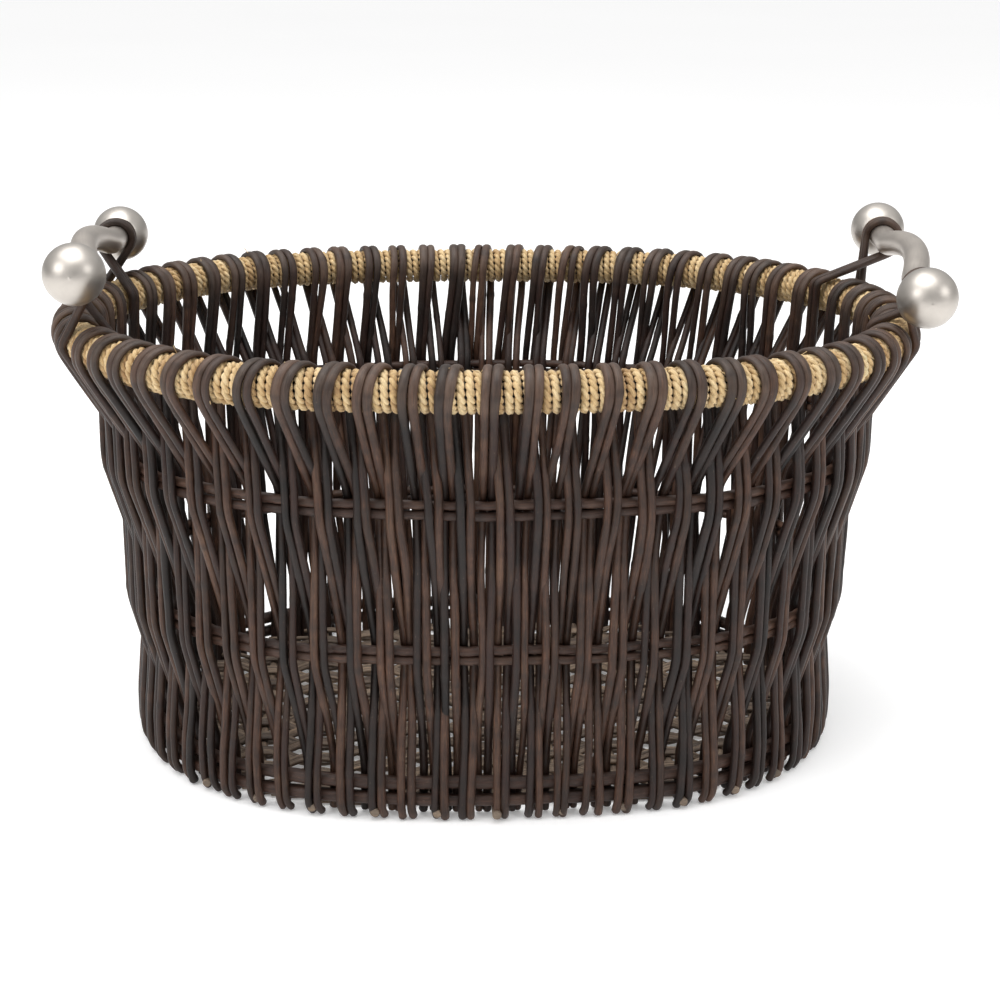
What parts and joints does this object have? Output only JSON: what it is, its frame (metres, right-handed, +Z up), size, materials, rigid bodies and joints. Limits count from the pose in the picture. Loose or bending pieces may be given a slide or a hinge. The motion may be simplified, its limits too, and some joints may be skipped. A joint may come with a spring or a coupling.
{
  "type": "wicker log basket",
  "caption": "Oval openwork basket of dark willow rods with a seagrass-wrapped rim and a swivelling steel bar handle with ball ends at each end.",
  "frame": {"origin": "middle of the flat underside of the woven base, on the surface that the basket stands on", "axes": "+X along the basket's length, towards the right handle; +Y to the back; +Z up"},
  "size_m": [0.5949, 0.4411, 0.354],
  "materials": {
    "willow": "dark stained willow, satin",
    "base_willow": "weathered split willow",
    "rope": "twisted seagrass",
    "steel": "satin nickel",
    "steel_inner": "plain steel"
  },
  "bodies": {
    "basket": {"base_hoop_lower": "willow", "base_hoop_upper": "willow", "base_sticks": "base_willow", "base_weave": "base_willow", "left_back_loop": "willow", "left_front_loop": "willow", "lower_band_bottom_rod": "willow", "lower_band_top_rod": "willow", "right_back_loop": "willow", "right_front_loop": "willow", "rim_hoop": "willow", "rim_rope": "rope", "stakes_01": "willow", "stakes_02": "willow", "stakes_03": "willow", "stakes_04": "willow", "stakes_05": "willow", "stakes_06": "willow", "stakes_07": "willow", "stakes_08": "willow", "stakes_09": "willow", "stakes_10": "willow", "stakes_11": "willow", "stakes_12": "willow", "stakes_13": "willow", "stakes_14": "willow", "stakes_15": "willow", "stakes_16": "willow", "upper_band_bottom_rod": "willow", "upper_band_top_rod": "willow"},
    "left_handle": {"left_handle_bar": "steel", "left_front_ball": "steel", "left_back_ball": "steel", "left_bar_plugs": "steel_inner", "left_ball_studs": "steel_inner"},
    "right_handle": {"right_handle_bar": "steel", "right_front_ball": "steel", "right_back_ball": "steel", "right_bar_plugs": "steel_inner", "right_ball_studs": "steel_inner"}
  },
  "joints": [
    {"name": "left_handle_swivel", "type": "hinge", "parent": "basket", "child": "left_handle", "pos_m": [-0.255, 0, 0.33], "axis": [0, 0.9989, -0.0467], "range_deg": [-60, 75]},
    {"name": "right_handle_swivel", "type": "hinge", "parent": "basket", "child": "right_handle", "pos_m": [0.2775, 0, 0.3235], "axis": [-0.1028, -0.9938, -0.0421], "range_deg": [-60, 75]}
  ]
}
